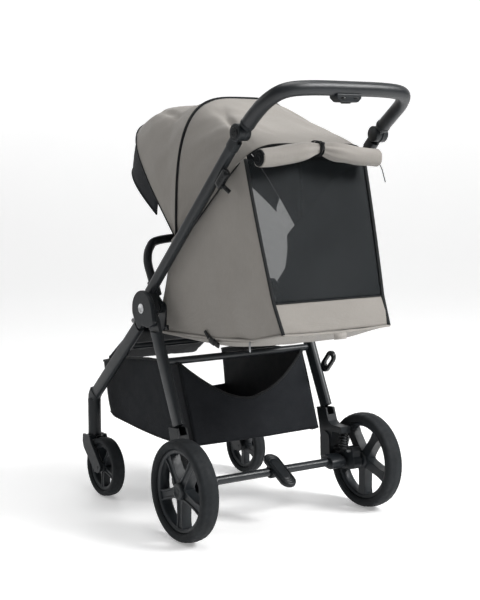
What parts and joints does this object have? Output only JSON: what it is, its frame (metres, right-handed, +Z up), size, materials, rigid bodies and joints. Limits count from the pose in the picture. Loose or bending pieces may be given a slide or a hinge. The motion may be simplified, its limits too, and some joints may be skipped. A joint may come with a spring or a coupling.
{
  "type": "pushchair",
  "caption": "Lightweight folding pushchair with swivel front wheels, sprung rear axle, reclining fabric seat, folding hood, bumper bar and storage basket.",
  "frame": {"origin": "on the floor under the middle of the pushchair's outline", "axes": "+X to the pusher's left, the child faces -Y, the handle is at +Y, +Z up"},
  "size_m": [0.582, 0.879, 1.0473],
  "materials": {
    "frame_black": "charcoal powder coat, satin",
    "plastic_black": "fine moulded texture",
    "button_black": "smooth satin",
    "tyre_foam": "matte foam rubber",
    "rim_black": "satin moulded",
    "leatherette": "black grained leatherette",
    "taupe_cloth": "warm grey woven technical cloth",
    "black_cloth": "black woven cloth",
    "mesh_cloth": "dark see-through mesh",
    "steel": "zinc-plated wire"
  },
  "bodies": {
    "chassis": {"front_leg_left": "frame_black", "front_leg_right": "frame_black", "hub_housing_left": "plastic_black", "hub_housing_right": "plastic_black", "caster_sleeve_left": "plastic_black", "caster_sleeve_right": "plastic_black", "front_cross_tube": "frame_black", "seat_frame": "frame_black", "seat_deck": "black_cloth", "harness_buckle": "plastic_black", "storage_basket": "black_cloth"},
    "upper_frame": {"pusher_tube_left": "frame_black", "pusher_tube_right": "frame_black", "knuckle_left": "plastic_black", "knuckle_right": "plastic_black", "seat_tub": "taupe_cloth", "rear_panel": "mesh_cloth", "flap_roll": "taupe_cloth", "hood_rear": "taupe_cloth"},
    "handle": {"handle_bar": "leatherette", "fold_release_housing": "plastic_black"},
    "fold_release_button": {"fold_release_button": "button_black"},
    "rear_legs": {"rear_leg_left": "frame_black", "rear_leg_right": "frame_black", "leg_housing_left": "plastic_black", "leg_housing_right": "plastic_black", "rear_cross_tube": "frame_black", "suspension_spring_left": "steel", "suspension_spring_right": "steel"},
    "rear_axle": {"swing_arm_left": "plastic_black", "swing_arm_right": "plastic_black", "axle_crossbar": "frame_black"},
    "brake_pedal": {"brake_pedal": "plastic_black"},
    "bumper_arms": {"bumper_mount_left": "plastic_black", "bumper_mount_right": "plastic_black"},
    "bumper_bar": {"bumper_bar": "leatherette"},
    "legrest": {"legrest": "black_cloth"},
    "backrest": {"backrest_board": "plastic_black", "seat_pad": "black_cloth"},
    "hood_bow": {"hood_bow": "button_black"},
    "hood_front": {"hood_front": "taupe_cloth", "hood_visor": "black_cloth"},
    "fold_latch": {"fold_latch": "button_black"},
    "buckle_button": {"buckle_button": "button_black"},
    "brake_pin_left": {"brake_pin_left": "steel"},
    "rear_wheel_left": {"rear_rim_left": "rim_black", "rear_tyre_left": "tyre_foam"},
    "caster_left": {"caster_fork_left": "plastic_black"},
    "front_wheel_left": {"front_rim_left": "rim_black", "front_tyre_left": "tyre_foam"},
    "swivel_lock_left": {"swivel_lock_left": "button_black"},
    "handle_button_left": {"handle_button_left": "button_black"},
    "brake_pin_right": {"brake_pin_right": "steel"},
    "rear_wheel_right": {"rear_rim_right": "rim_black", "rear_tyre_right": "tyre_foam"},
    "caster_right": {"caster_fork_right": "plastic_black"},
    "front_wheel_right": {"front_rim_right": "rim_black", "front_tyre_right": "tyre_foam"},
    "swivel_lock_right": {"swivel_lock_right": "button_black"},
    "handle_button_right": {"handle_button_right": "button_black"}
  },
  "joints": [
    {"name": "frame_fold", "type": "hinge", "parent": "chassis", "child": "upper_frame", "pos_m": [0, -0.075, 0.515], "axis": [1, 0, 0], "range_deg": [0, 152], "deforming": ["seat_tub", "hood_rear", "hood_front", "hood_visor", "storage_basket"]},
    {"name": "rear_leg_fold", "type": "hinge", "parent": "chassis", "child": "rear_legs", "pos_m": [0, -0.075, 0.515], "axis": [1, 0, 0], "range_deg": [-34, 0]},
    {"name": "bumper_fold", "type": "hinge", "parent": "chassis", "child": "bumper_arms", "pos_m": [0, -0.075, 0.515], "axis": [1, 0, 0], "range_deg": [0, 46]},
    {"name": "bumper_pull_off", "type": "slide", "parent": "bumper_arms", "child": "bumper_bar", "axis": [0, -0.4472, 0.8944], "range_m": [0, 0.03]},
    {"name": "axle_suspension", "type": "hinge", "parent": "rear_legs", "child": "rear_axle", "pos_m": [0, 0.088, 0.122], "axis": [1, 0, 0], "range_deg": [0, 6], "stiffness_Nm_per_rad": 30, "springref_deg": -20.05, "deforming": ["suspension_spring_left", "suspension_spring_right"]},
    {"name": "brake_pedal_rock", "type": "hinge", "parent": "rear_axle", "child": "brake_pedal", "pos_m": [0, 0.138, 0.12], "axis": [-1, 0, 0], "range_deg": [0, 14]},
    {"name": "brake_pin_left_slide", "type": "slide", "parent": "rear_axle", "child": "brake_pin_left", "axis": [1, 0, 0], "range_m": [0, 0.0055]},
    {"name": "rear_wheel_left_spin", "type": "hinge", "parent": "rear_axle", "child": "rear_wheel_left", "pos_m": [0.272, 0.17, 0.12], "axis": [1, 0, 0], "continuous": true},
    {"name": "caster_left_swivel", "type": "hinge", "parent": "chassis", "child": "caster_left", "pos_m": [0.223, -0.352, 0.155], "axis": [0, 0, 1], "continuous": true},
    {"name": "front_wheel_left_spin", "type": "hinge", "parent": "caster_left", "child": "front_wheel_left", "pos_m": [0.223, -0.294, 0.077], "axis": [1, 0, 0], "continuous": true},
    {"name": "swivel_lock_left_slide", "type": "slide", "parent": "caster_left", "child": "swivel_lock_left", "axis": [0, 1, 0], "range_m": [0, 0.003]},
    {"name": "handle_button_left_press", "type": "slide", "parent": "upper_frame", "child": "handle_button_left", "axis": [-1, 0, 0], "range_m": [0, 0.0025], "stiffness_N_per_m": 400},
    {"name": "brake_pin_right_slide", "type": "slide", "parent": "rear_axle", "child": "brake_pin_right", "axis": [-1, 0, 0], "range_m": [0, 0.0055]},
    {"name": "rear_wheel_right_spin", "type": "hinge", "parent": "rear_axle", "child": "rear_wheel_right", "pos_m": [-0.272, 0.17, 0.12], "axis": [1, 0, 0], "continuous": true},
    {"name": "caster_right_swivel", "type": "hinge", "parent": "chassis", "child": "caster_right", "pos_m": [-0.223, -0.352, 0.155], "axis": [0, 0, 1], "continuous": true},
    {"name": "front_wheel_right_spin", "type": "hinge", "parent": "caster_right", "child": "front_wheel_right", "pos_m": [-0.223, -0.294, 0.077], "axis": [1, 0, 0], "continuous": true},
    {"name": "swivel_lock_right_slide", "type": "slide", "parent": "caster_right", "child": "swivel_lock_right", "axis": [0, 1, 0], "range_m": [0, 0.003]},
    {"name": "handle_button_right_press", "type": "slide", "parent": "upper_frame", "child": "handle_button_right", "axis": [1, 0, 0], "range_m": [0, 0.0025], "stiffness_N_per_m": 400},
    {"name": "handle_tilt", "type": "hinge", "parent": "upper_frame", "child": "handle", "pos_m": [0, 0.29, 0.938], "axis": [1, 0, 0], "range_deg": [-40, 40]},
    {"name": "fold_release_slide", "type": "slide", "parent": "handle", "child": "fold_release_button", "axis": [1, 0, 0], "range_m": [0, 0.006], "stiffness_N_per_m": 300},
    {"name": "backrest_recline", "type": "hinge", "parent": "upper_frame", "child": "backrest", "pos_m": [0, -0.02, 0.466], "axis": [-1, 0, 0], "range_deg": [-55, 0], "deforming": ["seat_tub", "rear_panel"]},
    {"name": "legrest_tilt", "type": "hinge", "parent": "chassis", "child": "legrest", "pos_m": [0, -0.277, 0.456], "axis": [1, 0, 0], "range_deg": [-35, 40]},
    {"name": "hood_fold", "type": "hinge", "parent": "upper_frame", "child": "hood_front", "pos_m": [0, 0.01, 0.68], "axis": [1, 0, 0], "range_deg": [-65, 0], "deforming": ["hood_rear", "hood_front"]},
    {"name": "hood_bow_fold", "type": "hinge", "parent": "upper_frame", "child": "hood_bow", "pos_m": [0, 0.01, 0.68], "axis": [1, 0, 0], "range_deg": [-33, 0]},
    {"name": "fold_latch_swing", "type": "hinge", "parent": "rear_legs", "child": "fold_latch", "pos_m": [-0.218, 0.071, 0.352], "axis": [1, 0, 0], "range_deg": [0, 25]},
    {"name": "buckle_button_press", "type": "slide", "parent": "chassis", "child": "buckle_button", "axis": [0, 0, -1], "range_m": [0, 0.0005], "stiffness_N_per_m": 400}
  ],
  "couplings": [
    {"joint": "rear_leg_fold", "follows": "frame_fold", "ratio": -0.21875},
    {"joint": "bumper_fold", "follows": "frame_fold", "ratio": 0.3},
    {"joint": "brake_pin_left_slide", "follows": "brake_pedal_rock", "m_per_rad": 0.022},
    {"joint": "brake_pin_right_slide", "follows": "brake_pedal_rock", "m_per_rad": 0.022},
    {"joint": "hood_bow_fold", "follows": "hood_fold", "ratio": 0.5}
  ]
}
